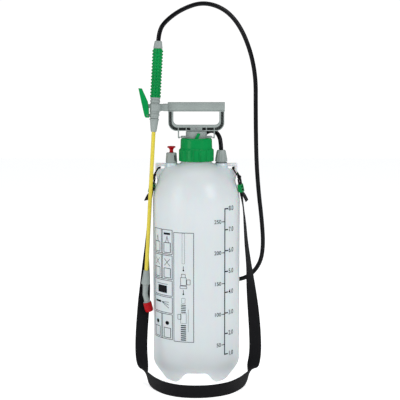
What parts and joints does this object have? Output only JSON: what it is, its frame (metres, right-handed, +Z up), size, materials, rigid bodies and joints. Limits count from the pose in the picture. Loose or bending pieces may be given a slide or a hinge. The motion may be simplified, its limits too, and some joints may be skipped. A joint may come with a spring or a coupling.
{
  "type": "hand pump pressure sprayer",
  "caption": "Garden pressure sprayer: translucent tank on moulded feet, screw collar, D-handle piston pump, hose, trigger lance and shoulder strap.",
  "frame": {"origin": "on the floor, on the tank's vertical axis", "axes": "+Z up along the tank and pump axis; +X towards the hose outlet, -X towards the relief valve and the parked lance; -Y towards the side with the litre scale, where the strap lies"},
  "size_m": [0.2698, 0.2874, 0.7714],
  "materials": {
    "tank_plastic": "milky translucent blow-moulded plastic",
    "green_plastic": "glossy moulded",
    "grey_plastic": "satin moulded",
    "black_plastic": "satin moulded",
    "white_plastic": "satin moulded",
    "red_plastic": "glossy moulded",
    "yellow_lance": "glossy drawn tube",
    "black_hose": "smooth, slightly glossy",
    "seal_rubber": "moulded",
    "black_webbing": "woven webbing",
    "steel": "plated wire",
    "brass": "turned"
  },
  "bodies": {
    "tank": {"tank_shell": "tank_plastic", "pump_barrel": "white_plastic", "barrel_gasket": "seal_rubber", "foot_valve_disc": "seal_rubber", "pump_top_cover": "grey_plastic", "rod_guide_bush": "white_plastic", "lock_tab": "green_plastic", "outlet_fitting": "grey_plastic", "outlet_gasket": "seal_rubber", "hose_nut": "grey_plastic", "dip_tube": "white_plastic", "dip_filter": "white_plastic", "relief_valve_body": "grey_plastic", "relief_valve_cap": "grey_plastic", "relief_spring": "steel", "strap_hook_left": "black_plastic", "strap_hook_right": "black_plastic", "strap_ring_left": "black_plastic", "strap_ring_right": "black_plastic", "strap_adjuster_left": "green_plastic", "strap_adjuster_right": "green_plastic", "shoulder_strap": "black_webbing", "strap_end_left": "black_webbing", "strap_end_right": "black_webbing", "hose": "black_hose"},
    "collar": {"collar_nut": "green_plastic"},
    "plunger": {"pump_handle": "grey_plastic", "pump_rod": "grey_plastic", "piston": "grey_plastic", "piston_seal": "seal_rubber", "handle_pin": "steel", "lance_clip": "grey_plastic", "grip": "green_plastic", "grip_core_tube": "grey_plastic", "lance_filter": "white_plastic", "hose_ferrule": "grey_plastic", "valve_body": "grey_plastic", "trigger_pin": "steel", "valve_spring": "steel", "lance_nut": "grey_plastic", "lance_oring": "seal_rubber"},
    "trigger": {"trigger_lever": "green_plastic"},
    "valve_stem": {"valve_stem": "brass"},
    "lance": {"lance_tube": "yellow_lance", "nozzle_elbow": "grey_plastic", "nozzle_insert": "brass"},
    "nozzle_cap": {"nozzle_cap": "red_plastic"},
    "relief_knob": {"relief_knob": "red_plastic", "relief_seal": "seal_rubber"}
  },
  "joints": [
    {"name": "pump_stroke", "type": "slide", "parent": "tank", "child": "plunger", "axis": [0, 0, 1], "range_m": [0, 0.15], "deforming": ["hose"]},
    {"name": "collar_turn", "type": "hinge", "parent": "tank", "child": "collar", "pos_m": [0, 0, 0.47], "axis": [0, 0, 1], "range_deg": [0, 120]},
    {"name": "trigger_squeeze", "type": "hinge", "parent": "plunger", "child": "trigger", "pos_m": [-0.09854, -0.02, 0.54278], "axis": [0, 1, 0], "range_deg": [0, 10], "stiffness_Nm_per_rad": 0.4, "springref_deg": -11.46},
    {"name": "valve_lift", "type": "slide", "parent": "plunger", "child": "valve_stem", "axis": [0.9984, 0, -0.0567], "range_m": [0, 0.0034], "deforming": ["valve_spring"]},
    {"name": "lance_turn", "type": "hinge", "parent": "plunger", "child": "lance", "pos_m": [-0.0849, -0.02, 0.536], "axis": [0.0567, 0, 0.9984], "range_deg": [-150, 0]},
    {"name": "nozzle_turn", "type": "hinge", "parent": "lance", "child": "nozzle_cap", "pos_m": [-0.10537, -0.02, 0.17558], "axis": [-0.2419, 0, 0.9703], "range_deg": [0, 270]},
    {"name": "relief_pull", "type": "slide", "parent": "tank", "child": "relief_knob", "axis": [0, 0, 1], "range_m": [0, 0.004], "stiffness_N_per_m": 400, "springref_m": -0.003, "deforming": ["relief_spring"]}
  ],
  "couplings": [
    {"joint": "valve_lift", "follows": "trigger_squeeze", "m_per_rad": 0.019}
  ]
}
